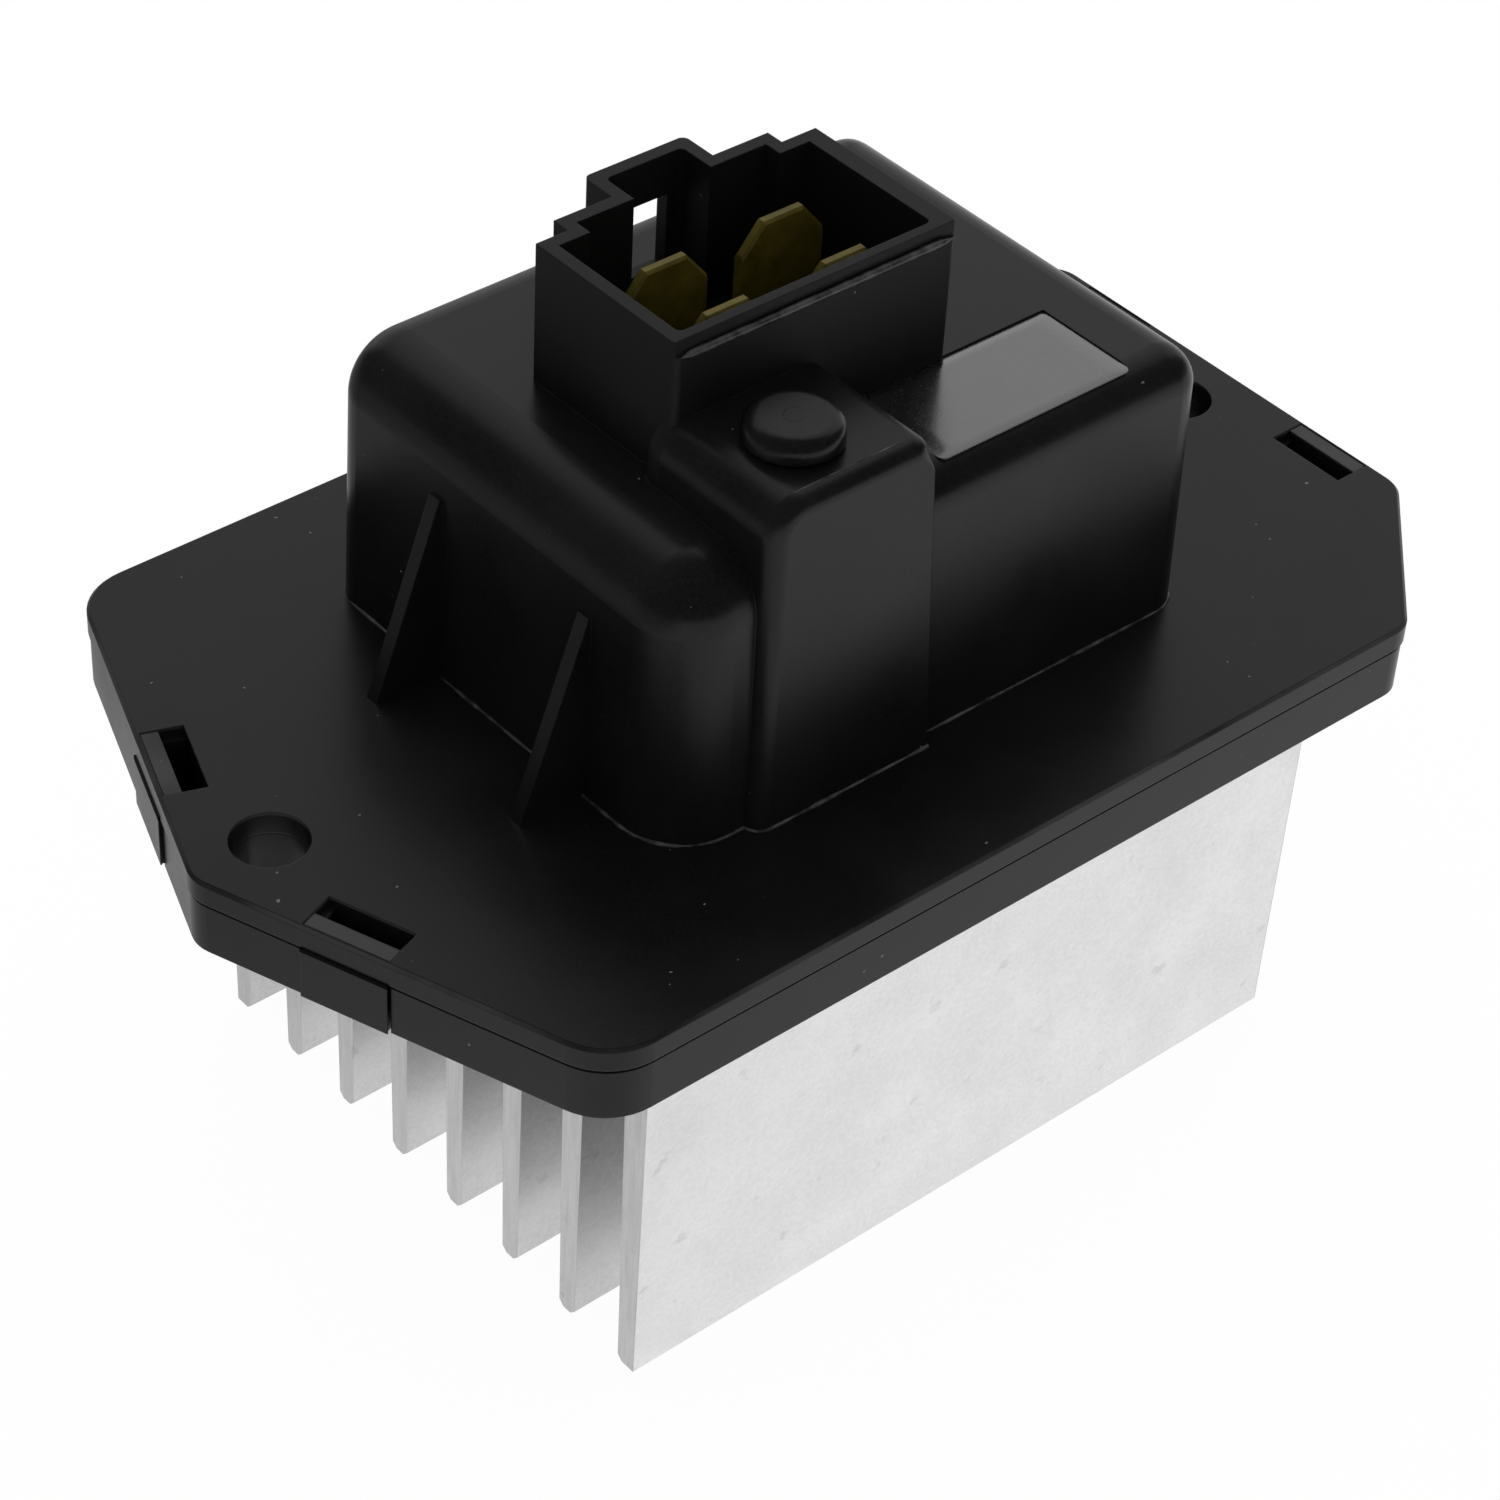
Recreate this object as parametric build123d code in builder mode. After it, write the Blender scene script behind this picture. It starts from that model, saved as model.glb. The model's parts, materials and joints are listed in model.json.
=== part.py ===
from build123d import *
from math import atan, cos, degrees, radians, sin, tan
import os

# Blower motor resistor. Millimetres, +Z up, X along the long side of the flange.
# The origin lies on the face that seats on the air duct, midway between the two screw holes.
# The fins hang down into the air stream, and the connector stands up on the housing.

# Flange, shared by the housing's plate and the frame under it
flange_length = 85.65
flange_width = 53.5
nose_x = -43.1
side_start_x = -33.3
right_chamfer = 10.8
nose_radius = 2.6
left_corner_radius = 4.4
right_corner_radius = 2.4
frame_height = 3.8
plate_thickness = 1.6
plate_edge_bevel = 0.2
screw_hole_spacing = 75.0
screw_hole_radius = 2.45

# Snap hooks of the frame, and the windows for them in the plate
window_wall = 0.3
window_depth = 2.75
window_length = 6.0
left_window_y = 9.95
right_window_y = 10.25
head_height = 0.7
head_ledge = 0.5
hook_thickness = 1.1
hook_clearance = 0.05
tongue_proud = 0.1
frame_inset = 0.12
seam_width = 0.22
seam_depth = 1.7
pocket_floor = 1.0

# Box that covers the circuit
box_left_x = -20.4
box_right_x = 22.2
box_front_y = -16.0
box_back_y = 17.7
box_top_z = 24.6
box_draft = 1.0
box_wall = 1.7
roof_thickness = 2.2
box_big_corner = 4.5
box_small_corner = 2.4
box_left_round = 4.1
box_top_round = 2.6
box_inner_bevel = 1.6
gusset_reach = 4.8
gusset_top_z = 18.8
gusset_thickness = 1.0
gusset_places_y = (-7.5, 6.7)

# Tower in front of the connector, which makes room for the tall capacitor
tower_left_x = -14.6
tower_right_x = -0.9
tower_front_y = -17.05
tower_back_y = -4.6
tower_top_z = 28.8
tower_draft = 0.8
tower_right_draft = 3.2
tower_wall = 1.6
tower_corner = 1.1
tower_left_round = 2.4

# Shallow field for a label, left bare
field_left_x = 0.8
field_right_x = 16.4
field_front_y = -14.4
field_back_y = -6.5
field_depth = 0.12

# Connector shroud, an open socket with a stepped back wall and a latch pocket
socket_x = -2.75
socket_half_width = 9.65
socket_front_y = -5.65
socket_back_y = 5.3
step_half_width = 7.3
step_back_y = 6.6
pocket_half_width = 2.95
pocket_back_y = 9.3
socket_wall = 0.95
socket_right_wall = 1.3
socket_rim_z = 34.2
socket_floor_z = 24.2
socket_corner = 0.5
socket_inner_corner = 0.4
lip_depth = 0.25
lip_height = 1.0
latch_window_width = 3.9
latch_window_low_z = 26.2
latch_window_high_z = 31.3

# Blade terminals
blade_width = 6.3
blade_thickness = 0.8
blade_tip_z = 32.9
blade_flat = 3.1
blade_tip_slope = 1.9
blade_edge_bevel = 0.18
blade_column_spacing = 9.05
blade_rear_y = 1.9
blade_front_y = -3.7
blade_clearance = 0.05
shoulder_width = 7.6
shoulder_height = 1.4
tail_width = 3.0
tail_below_board = 1.2

# Heat sink, an aluminium extrusion
sink_left_x = -26.15
sink_right_x = 29.6
sink_base_thickness = 2.8
sink_base_half_width = 23.4
fin_count = 8
fin_pitch = 5.89
fin_tip_z = -30.05
fin_root_thickness = 2.2
fin_tip_thickness = 1.5
fin_tip_bevel = 0.4
fin_root_fillet = 0.5
sink_clearance = 0.15
fin_clearance = 0.3

# Seal between the housing and the heat sink
seal_width = 1.4
seal_height = 0.8
seal_outset = 1.6

# Circuit board, hung from posts under the roof
board_thickness = 1.6
board_top_z = 14.6
board_left_x = -17.1
board_right_x = 17.8
board_front_y = -13.2
board_back_y = 14.6
board_corner = 1.5
post_radius = 2.4
post_places = ((-14.1, -10.2), (14.9, -10.2), (-14.1, 11.6), (14.9, 11.6))
board_screw_radius = 1.0
board_screw_head_radius = 2.0
board_screw_head_height = 1.3
board_screw_depth = 5.0
board_hole_clearance = 0.1

# Power transistors, screwed down on the heat sink
transistor_places_x = (-8.1, 8.9)
transistor_width = 10.2
transistor_tab_front_y = -12.6
transistor_body_front_y = -6.2
transistor_body_back_y = 2.8
transistor_body_height = 4.5
transistor_draft = 3
tab_thickness = 1.3
tab_hole_y = -9.8
tab_hole_radius = 1.8
lead_width = 0.8
lead_thickness = 0.5
lead_pitch = 2.54
lead_rise_y = 6.6
lead_height = 2.4
lead_above_board = 1.0
pad_thickness = 0.3
pad_margin = 0.6
transistor_screw_radius = 1.5
transistor_screw_head_radius = 2.8
transistor_screw_head_height = 2.0
transistor_screw_depth = 2.2

# Parts on the board
can_radius = 3.15
can_head_room = 1.1
can_edge_bevel = 0.4
can_x = -8.6
can_y = -11.7
can_foot_height = 0.6
can_lead_spacing = 2.5
can_lead_radius = 0.3
chip_length = 4.9
chip_width = 3.9
chip_height = 1.4
chip_stand_off = 0.15
chip_place = (9.1, -6.6)
chip_leg_count = 4
chip_leg_pitch = 1.27
chip_leg_width = 0.42
chip_leg_thickness = 0.2
chip_leg_reach = 1.05
shunt_x = 9.3
shunt_y = 5.2
shunt_span = 11.0
shunt_width = 3.0
shunt_thickness = 0.7
shunt_bend = 0.6
shunt_height = 4.2
diode_place = (-13.1, 1.2)
diode_length = 6.8
diode_width = 5.9
diode_height = 2.3
diode_leg_thickness = 0.25
diode_leg_width = 3.0
diode_leg_length = 1.2
diode_draft = 4
fuse_y = 10.6
fuse_x = 0.3
fuse_radius = 1.9
fuse_length = 9.0
fuse_gap = 0.3
fuse_edge_bevel = 0.4
fuse_lead_width = 1.2
fuse_lead_thickness = 0.5
fuse_lead_span = 15.0
resistor_size = (2.0, 1.25, 0.5)
resistor_places = ((14.6, -3.4), (14.6, -1.0), (14.6, 1.4), (-2.0, -10.4), (0.8, -10.4), (3.6, -10.4))

# Closing rivet on top of the tower, a button head on a barbed shank
rivet_x = -8.85
rivet_y = -11.85
rivet_head_radius = 3.05
rivet_head_round = 0.9
rivet_head_bevel = 0.3
rivet_height = 1.75
rivet_shank_radius = 1.5
rivet_barb_radius = 1.85
rivet_barb_height = 0.45
rivet_clearance = 0.05

# How near an edge or a corner lies to the place it is picked by
near = 0.01

# Worked out from the sizes above
flange_right_x = nose_x + flange_length
plate_bottom_z = frame_height
plate_top_z = frame_height + plate_thickness
nose_angle = degrees(atan((side_start_x - nose_x) / (flange_width / 2)))
box_length = box_right_x - box_left_x
box_width = box_back_y - box_front_y
box_center = ((box_left_x + box_right_x) / 2, (box_front_y + box_back_y) / 2)
roof_under_z = box_top_z - roof_thickness
tower_roof_under_z = tower_top_z - tower_wall
tower_lean = (tower_top_z - plate_top_z) * tan(radians(tower_right_draft))
board_under_z = board_top_z - board_thickness
can_height = tower_roof_under_z - can_head_room - board_top_z - can_foot_height
pad_top_z = frame_height + pad_thickness
tab_top_z = pad_top_z + tab_thickness
blade_columns_x = (socket_x - blade_column_spacing / 2, socket_x + blade_column_spacing / 2)
blade_places = [(x, y) for y in (blade_front_y, blade_rear_y) for x in blade_columns_x]
lead_offsets_x = (-lead_pitch, 0, lead_pitch)


def window_places(depth):
    """Places in the flange's plane that lie depth inside its edge, at the middle of each hook window."""
    slope = radians(nose_angle)
    places = []
    for side in (-1, 1):
        left_x = nose_x + left_window_y * tan(slope) + depth * cos(slope)
        left_y = side * (left_window_y - depth * sin(slope))
        places.append(Location((left_x, left_y), -side * nose_angle))
        places.append(Location((flange_right_x - depth, side * right_window_y), 180))
    return places


def socket_outline(wall, right_wall):
    """Outline of the socket with a wall round it, thicker on the right: a wide slot with two steps at the back."""
    half = [
        (step_half_width + wall, socket_back_y + wall),
        (step_half_width + wall, step_back_y + wall),
        (pocket_half_width + wall, step_back_y + wall),
        (pocket_half_width + wall, pocket_back_y + wall),
    ]
    right_x = socket_x + socket_half_width + right_wall
    left_x = socket_x - socket_half_width - wall
    right = [(right_x, socket_front_y - wall), (right_x, socket_back_y + wall)]
    left = [(left_x, socket_back_y + wall), (left_x, socket_front_y - wall)]
    right += [(socket_x + x, y) for x, y in half]
    left = [(socket_x - x, y) for x, y in reversed(half)] + left
    return right + left


def finish(piece, name):
    """Labels a finished piece and writes its STEP file."""
    piece.part.label = name
    export_step(piece.part, "parts/" + name + ".step")


os.makedirs("parts", exist_ok=True)

# Outlines that several pieces share
with BuildSketch() as flange_profile:
    with BuildLine():
        Polyline(
            (nose_x, 0),
            (side_start_x, -flange_width / 2),
            (flange_right_x - right_chamfer, -flange_width / 2),
            (flange_right_x, -flange_width / 2 + right_chamfer),
            (flange_right_x, flange_width / 2 - right_chamfer),
            (flange_right_x - right_chamfer, flange_width / 2),
            (side_start_x, flange_width / 2),
            close=True,
        )
    make_face()
    corners = flange_profile.vertices().sort_by(Axis.X)
    fillet(corners[0], nose_radius)
    fillet(flange_profile.vertices().filter_by(lambda v: abs(v.X - side_start_x) < near), left_corner_radius)
    right_corners = flange_profile.vertices().filter_by(lambda v: v.X > flange_right_x - right_chamfer - near)
    fillet(right_corners, right_corner_radius)

with BuildSketch() as shroud_profile:
    with BuildLine():
        Polyline(*socket_outline(socket_wall, socket_right_wall), close=True)
    make_face()
    fillet(shroud_profile.vertices().group_by(Axis.Y)[0], socket_corner)
    fillet(shroud_profile.vertices().group_by(Axis.Y)[-1], socket_corner)

with BuildSketch() as socket_profile:
    with BuildLine():
        Polyline(*socket_outline(0, 0), close=True)
    make_face()
    fillet(socket_profile.vertices().group_by(Axis.Y)[0], socket_inner_corner)
    fillet(socket_profile.vertices().group_by(Axis.Y)[-1], socket_inner_corner)

with BuildSketch() as seal_path:
    with Locations(box_center):
        RectangleRounded(
            box_length + 2 * seal_outset + seal_width,
            box_width + 2 * seal_outset + seal_width,
            box_big_corner + seal_outset,
        )
        RectangleRounded(
            box_length + 2 * seal_outset - seal_width,
            box_width + 2 * seal_outset - seal_width,
            box_big_corner + seal_outset - seal_width,
            mode=Mode.SUBTRACT,
        )

# Housing: plate, box, tower and connector shroud in one moulding, hollow from below
with BuildPart() as housing:
    with BuildSketch(Plane.XY.offset(plate_bottom_z)):
        add(flange_profile.sketch)
    extrude(amount=plate_thickness)
    chamfer(housing.edges().group_by(Axis.Z)[-1], plate_edge_bevel)

    # Tower, whose right wall leans more than the others and whose left edge is rounded more
    with BuildSketch(Plane.XY.offset(plate_top_z)) as tower_foot:
        with Locations(((tower_left_x + tower_right_x) / 2, (tower_front_y + tower_back_y) / 2)):
            Rectangle(tower_right_x - tower_left_x, tower_back_y - tower_front_y)
    extrude(amount=tower_top_z - plate_top_z, taper=tower_draft)
    with BuildSketch(Plane.XZ.offset(-tower_back_y)):
        with BuildLine():
            Polyline(
                (tower_right_x, plate_top_z),
                (tower_right_x + tower_wall, plate_top_z),
                (tower_right_x + tower_wall, tower_top_z),
                (tower_right_x - tower_lean, tower_top_z),
                close=True,
            )
        make_face()
    extrude(amount=tower_back_y - tower_front_y, mode=Mode.SUBTRACT)
    fillet(housing.edges().group_by(Axis.Z)[-1].sort_by(Axis.X)[0], tower_left_round)
    front_edges = housing.edges().filter_by(
        lambda e: e.center().Y < tower_front_y + tower_corner
        and e.center().Z > plate_top_z
        and e.center().X < (tower_left_x + tower_right_x) / 2 + near
    )
    fillet(front_edges.filter_by(lambda e: e.center().Z > plate_top_z + near), tower_corner)
    top_edges = housing.edges().group_by(Axis.Z)[-1]
    fillet(top_edges.sort_by(Axis.Y)[-1:] + top_edges.sort_by(Axis.X)[-1:], tower_corner)

    # Box: its left edge is rounded more than the others, as far as the tower
    with BuildSketch(Plane.XY.offset(plate_top_z)) as box_foot:
        with Locations(box_center):
            Rectangle(box_length, box_width)
        fillet(box_foot.vertices().group_by(Axis.X)[0].sort_by(Axis.Y)[0], box_big_corner)
        fillet(box_foot.vertices().group_by(Axis.X)[-1], box_small_corner)
    extrude(amount=box_top_z - plate_top_z, taper=box_draft)
    roof_edges = housing.edges().filter_by_position(Axis.Z, box_top_z - near, box_top_z + near)
    fillet(roof_edges.filter_by(lambda e: e.center().X < tower_left_x), box_left_round)
    roof_edges = housing.edges().filter_by_position(Axis.Z, box_top_z - near, box_top_z + near)
    fillet(
        roof_edges.filter_by(
            lambda e: e.center().X > box_right_x - box_small_corner
            or e.center().Y > box_back_y - box_small_corner
            or (e.center().Y < box_front_y + box_small_corner and e.center().X > tower_right_x)
        ),
        box_top_round,
    )

    with BuildSketch(Plane.XY.offset(roof_under_z)):
        add(shroud_profile.sketch)
    extrude(amount=socket_rim_z - roof_under_z)

    # Thin gussets that brace the left wall
    for gusset_y in gusset_places_y:
        with BuildSketch(Plane.XZ.offset(-gusset_y)):
            with BuildLine():
                Polyline(
                    (box_left_x - gusset_reach, plate_top_z),
                    (box_left_x + box_wall, plate_top_z),
                    (box_left_x + box_wall, gusset_top_z),
                    (box_left_x, gusset_top_z),
                    close=True,
                )
            make_face()
        extrude(amount=gusset_thickness / 2, both=True)

    # Room for the circuit
    with BuildSketch(Plane.XY.offset(plate_bottom_z)) as room:
        with Locations(box_center):
            Rectangle(box_length - 2 * box_wall, box_width - 2 * box_wall)
        chamfer(room.vertices(), box_inner_bevel)
    extrude(amount=roof_under_z - plate_bottom_z, taper=box_draft, mode=Mode.SUBTRACT)
    tower_room_left_x = tower_left_x + tower_wall
    tower_room_right_x = tower_right_x - tower_lean - tower_wall
    tower_room_front_y = tower_front_y + tower_wall
    tower_room_back_y = socket_front_y - socket_wall - tower_wall
    with BuildSketch(Plane.XY.offset(plate_bottom_z)):
        with Locations(
            ((tower_room_left_x + tower_room_right_x) / 2, (tower_room_front_y + tower_room_back_y) / 2)
        ):
            Rectangle(tower_room_right_x - tower_room_left_x, tower_room_back_y - tower_room_front_y)
    extrude(amount=tower_roof_under_z - plate_bottom_z, taper=tower_draft, mode=Mode.SUBTRACT)

    # Inside of the socket, its lip and the latch window
    with BuildSketch(Plane.XY.offset(socket_floor_z)):
        add(socket_profile.sketch)
    extrude(amount=socket_rim_z - socket_floor_z, mode=Mode.SUBTRACT)
    with BuildSketch(Plane.XY.offset(socket_rim_z - lip_height)):
        with Locations((socket_x, socket_front_y - socket_wall)):
            Rectangle(4 * socket_half_width, 2 * lip_depth)
    extrude(amount=lip_height, mode=Mode.SUBTRACT)
    with BuildSketch(Plane.XZ.offset(-pocket_back_y - 2 * socket_wall)):
        with Locations((socket_x, (latch_window_low_z + latch_window_high_z) / 2)):
            Rectangle(latch_window_width, latch_window_high_z - latch_window_low_z)
    extrude(amount=3 * socket_wall, mode=Mode.SUBTRACT)

    # Slots for the blades in the socket's floor
    with BuildSketch(Plane.XY.offset(roof_under_z)):
        with Locations(*blade_places):
            Rectangle(blade_width + 2 * blade_clearance, blade_thickness + 2 * blade_clearance)
    extrude(amount=socket_floor_z - roof_under_z, mode=Mode.SUBTRACT)

    # Posts for the circuit board, with pilot holes for its screws
    with BuildSketch(Plane.XY.offset(board_top_z)):
        with Locations(*post_places):
            Circle(post_radius)
    extrude(amount=roof_under_z - board_top_z)
    with BuildSketch(Plane.XY.offset(board_top_z)):
        with Locations(*post_places):
            Circle(board_screw_radius)
    extrude(amount=board_screw_depth, mode=Mode.SUBTRACT)

    # Bare field for a label
    with BuildSketch(Plane.XY.offset(box_top_z - field_depth)):
        with Locations(((field_left_x + field_right_x) / 2, (field_front_y + field_back_y) / 2)):
            Rectangle(field_right_x - field_left_x, field_back_y - field_front_y)
        add(shroud_profile.sketch, mode=Mode.SUBTRACT)
    extrude(amount=field_depth, mode=Mode.SUBTRACT)

    # Hole for the closing rivet
    with BuildSketch(Plane.XY.offset(tower_roof_under_z)):
        with Locations((rivet_x, rivet_y)):
            Circle(rivet_shank_radius + rivet_clearance)
    extrude(amount=tower_wall, mode=Mode.SUBTRACT)

    # Groove for the seal
    with BuildSketch(Plane.XY.offset(plate_bottom_z)):
        add(seal_path.sketch)
    extrude(amount=seal_height, mode=Mode.SUBTRACT)

    # Screw holes and hook windows, longer above so that the hooks' heads rest on a ledge at each end
    with BuildSketch(Plane.XY.offset(plate_bottom_z)):
        with GridLocations(screw_hole_spacing, 0, 2, 1):
            Circle(screw_hole_radius)
        with Locations(*window_places(window_wall + window_depth / 2)):
            Rectangle(window_depth, window_length - 2 * head_ledge)
    extrude(amount=plate_thickness, mode=Mode.SUBTRACT)
    with BuildSketch(Plane.XY.offset(plate_top_z - head_height)):
        with Locations(*window_places(window_wall + window_depth / 2)):
            Rectangle(window_depth, window_length)
    extrude(amount=head_height, mode=Mode.SUBTRACT)
finish(housing, "housing")

# Lower frame: carries the heat sink's base on a ledge and snaps into the plate
fin_envelope = (fin_count - 1) * fin_pitch / 2 + fin_root_thickness / 2
sink_center_x = (sink_left_x + sink_right_x) / 2
sink_length = sink_right_x - sink_left_x
sink_base_under_z = frame_height - sink_base_thickness
with BuildPart() as lower_frame:
    with BuildSketch():
        add(flange_profile.sketch)
        offset(amount=-frame_inset, kind=Kind.INTERSECTION)
        with Locations(*window_places((seam_depth - tongue_proud) / 2)):
            Rectangle(seam_depth + tongue_proud, window_length)
        with Locations(*window_places(seam_depth / 2)):
            with Locations((0, window_length / 2), (0, -window_length / 2)):
                Rectangle(seam_depth, seam_width, mode=Mode.SUBTRACT)
        with GridLocations(screw_hole_spacing, 0, 2, 1):
            Circle(screw_hole_radius, mode=Mode.SUBTRACT)
    extrude(amount=frame_height)
    with BuildSketch():
        with Locations((sink_center_x, 0)):
            Rectangle(sink_length + 2 * sink_clearance, 2 * (fin_envelope + fin_clearance))
    extrude(amount=sink_base_under_z, mode=Mode.SUBTRACT)
    with BuildSketch(Plane.XY.offset(sink_base_under_z)):
        with Locations((sink_center_x, 0)):
            Rectangle(sink_length + 2 * sink_clearance, 2 * (sink_base_half_width + sink_clearance))
    extrude(amount=sink_base_thickness, mode=Mode.SUBTRACT)

    # Pockets behind the hooks, then the hooks with their wider heads
    hook_inner = window_wall + hook_clearance + hook_thickness
    gap_depth = window_wall + window_depth - hook_inner
    with BuildSketch(Plane.XY.offset(pocket_floor)):
        with Locations(*window_places(hook_inner + gap_depth / 2)):
            Rectangle(gap_depth, window_length - 2 * head_ledge)
    extrude(amount=frame_height - pocket_floor, mode=Mode.SUBTRACT)
    hook_top_z = plate_top_z - hook_clearance
    hook_places = window_places(hook_inner - hook_thickness / 2)
    with BuildSketch(Plane.XY.offset(frame_height)):
        with Locations(*hook_places):
            Rectangle(hook_thickness, window_length - 2 * head_ledge - 2 * hook_clearance)
    extrude(amount=hook_top_z - frame_height)
    with BuildSketch(Plane.XY.offset(plate_top_z - head_height)):
        with Locations(*hook_places):
            Rectangle(hook_thickness, window_length - 2 * hook_clearance)
    extrude(amount=head_height - hook_clearance)
finish(lower_frame, "lower_frame")

# Heat sink: one section with its base and tapered fins, cut to length
with BuildPart() as heat_sink:
    with BuildSketch(Plane.YZ.offset(sink_left_x)) as section:
        with Locations((0, frame_height - sink_base_thickness / 2)):
            Rectangle(2 * sink_base_half_width, sink_base_thickness)
        root = fin_root_thickness / 2
        tip = fin_tip_thickness / 2
        with BuildSketch(mode=Mode.PRIVATE) as fin:
            with BuildLine():
                Polyline(
                    (-tip, fin_tip_z),
                    (-root, sink_base_under_z),
                    (root, sink_base_under_z),
                    (tip, fin_tip_z),
                    close=True,
                )
            make_face()
        with GridLocations(fin_pitch, 0, fin_count, 1):
            add(fin.sketch)
        tips = section.vertices().group_by(Axis.Y)[0].sort_by(Axis.X)
        chamfer(tips[1:-1], fin_tip_bevel)
        roots = section.vertices().filter_by_position(
            Axis.Y, sink_base_under_z - near, sink_base_under_z + near
        )
        fillet(roots.sort_by(Axis.X)[2:-2], fin_root_fillet)
    extrude(amount=sink_length)
    with BuildSketch(Plane.XY.offset(frame_height)):
        with Locations(*[(x, tab_hole_y) for x in transistor_places_x]):
            Circle(transistor_screw_radius)
    extrude(amount=-transistor_screw_depth, mode=Mode.SUBTRACT)
finish(heat_sink, "heat_sink")

# Seal in the plate's groove
with BuildPart() as housing_seal:
    with BuildSketch(Plane.XY.offset(plate_bottom_z)):
        add(seal_path.sketch)
    extrude(amount=seal_height)
finish(housing_seal, "housing_seal")

# Closing rivet: a button head with a rounded shoulder, a shank and a barb under the roof
with BuildPart() as closing_rivet:
    head_top_z = tower_top_z + rivet_height
    with BuildSketch(Plane.XZ):
        with BuildLine():
            face = Line((0, head_top_z), (rivet_head_radius - rivet_head_round, head_top_z))
            shoulder = RadiusArc(face @ 1, (rivet_head_radius, head_top_z - rivet_head_round), rivet_head_round)
            Polyline(
                shoulder @ 1,
                (rivet_head_radius, tower_top_z + rivet_head_bevel),
                (rivet_head_radius - rivet_head_bevel, tower_top_z),
                (rivet_shank_radius, tower_top_z),
                (rivet_shank_radius, tower_roof_under_z - rivet_clearance),
                (rivet_barb_radius, tower_roof_under_z - rivet_clearance),
                (rivet_shank_radius, tower_roof_under_z - rivet_clearance - rivet_barb_height),
                (0, tower_roof_under_z - rivet_clearance - rivet_barb_height),
                face @ 0,
            )
        make_face()
    revolve(axis=Axis.Z)
closing_rivet.part = closing_rivet.part.moved(Location((rivet_x, rivet_y, 0)))
finish(closing_rivet, "closing_rivet")

# Blade terminals: a tab with a bevelled tip, a shoulder under the roof and a tail through the board
tail_end_z = board_under_z - tail_below_board
for number, (blade_x, blade_y) in enumerate(blade_places, start=1):
    with BuildPart() as terminal:
        with BuildSketch(Plane.XZ.offset(-blade_y)):
            with BuildLine():
                Polyline(
                    (blade_x - blade_flat / 2, blade_tip_z),
                    (blade_x - blade_width / 2, blade_tip_z - blade_tip_slope),
                    (blade_x - blade_width / 2, roof_under_z),
                    (blade_x - shoulder_width / 2, roof_under_z),
                    (blade_x - shoulder_width / 2, roof_under_z - shoulder_height),
                    (blade_x - tail_width / 2, roof_under_z - shoulder_height),
                    (blade_x - tail_width / 2, tail_end_z),
                    (blade_x + tail_width / 2, tail_end_z),
                    (blade_x + tail_width / 2, roof_under_z - shoulder_height),
                    (blade_x + shoulder_width / 2, roof_under_z - shoulder_height),
                    (blade_x + shoulder_width / 2, roof_under_z),
                    (blade_x + blade_width / 2, roof_under_z),
                    (blade_x + blade_width / 2, blade_tip_z - blade_tip_slope),
                    (blade_x + blade_flat / 2, blade_tip_z),
                    close=True,
                )
            make_face()
        extrude(amount=blade_thickness / 2, both=True)
        tip_edges = terminal.edges().filter_by(
            lambda e: e.center().Z > blade_tip_z - blade_tip_slope and abs(e.center().Y - blade_y) > near
        )
        chamfer(tip_edges, blade_edge_bevel)
    finish(terminal, "blade_terminal_" + str(number))

# Circuit board with its holes
with BuildPart() as circuit_board:
    with BuildSketch(Plane.XY.offset(board_under_z)):
        with Locations(((board_left_x + board_right_x) / 2, (board_front_y + board_back_y) / 2)):
            RectangleRounded(board_right_x - board_left_x, board_back_y - board_front_y, board_corner)
        with Locations(*post_places):
            Circle(board_screw_radius + board_hole_clearance, mode=Mode.SUBTRACT)
        with Locations(*blade_places):
            Rectangle(
                tail_width + 2 * board_hole_clearance,
                blade_thickness + 2 * board_hole_clearance,
                mode=Mode.SUBTRACT,
            )
        for transistor_x in transistor_places_x:
            with Locations(*[(transistor_x + step, lead_rise_y) for step in lead_offsets_x]):
                Rectangle(
                    lead_width + 2 * board_hole_clearance,
                    lead_thickness + 2 * board_hole_clearance,
                    mode=Mode.SUBTRACT,
                )
        with Locations((can_x - can_lead_spacing / 2, can_y), (can_x + can_lead_spacing / 2, can_y)):
            Circle(can_lead_radius + board_hole_clearance, mode=Mode.SUBTRACT)
        with Locations((shunt_x - shunt_span / 2, shunt_y), (shunt_x + shunt_span / 2, shunt_y)):
            Rectangle(
                shunt_thickness + 2 * board_hole_clearance,
                shunt_width + 2 * board_hole_clearance,
                mode=Mode.SUBTRACT,
            )
        with Locations((fuse_x - fuse_lead_span / 2, fuse_y), (fuse_x + fuse_lead_span / 2, fuse_y)):
            Rectangle(
                fuse_lead_thickness + 2 * board_hole_clearance,
                fuse_lead_width + 2 * board_hole_clearance,
                mode=Mode.SUBTRACT,
            )
    extrude(amount=board_thickness)
finish(circuit_board, "circuit_board")

# Hexagon screws that hold the board on its posts
with BuildPart() as board_screws:
    with BuildSketch(Plane.XY.offset(board_under_z)):
        with Locations(*post_places):
            RegularPolygon(board_screw_head_radius, 6)
    extrude(amount=-board_screw_head_height)
    with BuildSketch(Plane.XY.offset(board_under_z)):
        with Locations(*post_places):
            Circle(board_screw_radius)
    extrude(amount=board_thickness + board_screw_depth - 2 * board_hole_clearance)
finish(board_screws, "board_screws")

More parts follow.
